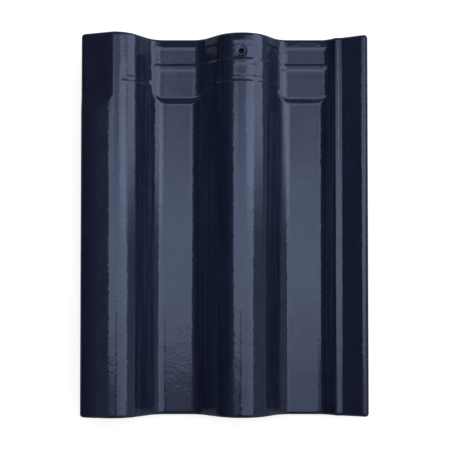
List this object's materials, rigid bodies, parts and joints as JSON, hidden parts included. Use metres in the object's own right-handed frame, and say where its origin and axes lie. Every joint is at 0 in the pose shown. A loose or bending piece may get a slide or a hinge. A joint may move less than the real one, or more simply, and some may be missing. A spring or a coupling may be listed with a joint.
{
  "type": "wave roof tile",
  "caption": "Interlocking wave roof tile of glossy navy glazed ceramic, with a cover roll, a second roll, stepped pans, weather bars, an underlap edge and a nail hole.",
  "frame": {"origin": "centre of the tile's length and width, at the level floor under its lugs and tail ribs", "axes": "+Y up the slope, from the tail to the head; +X across, from the cover roll to the underlap; +Z out of the weather face"},
  "size_m": [0.3, 0.4, 0.0545],
  "materials": {
    "glaze": "glossy dark navy glaze with a slight orange peel"
  },
  "bodies": {
    "root": {"roof_tile": "glaze"}
  },
  "joints": []
}
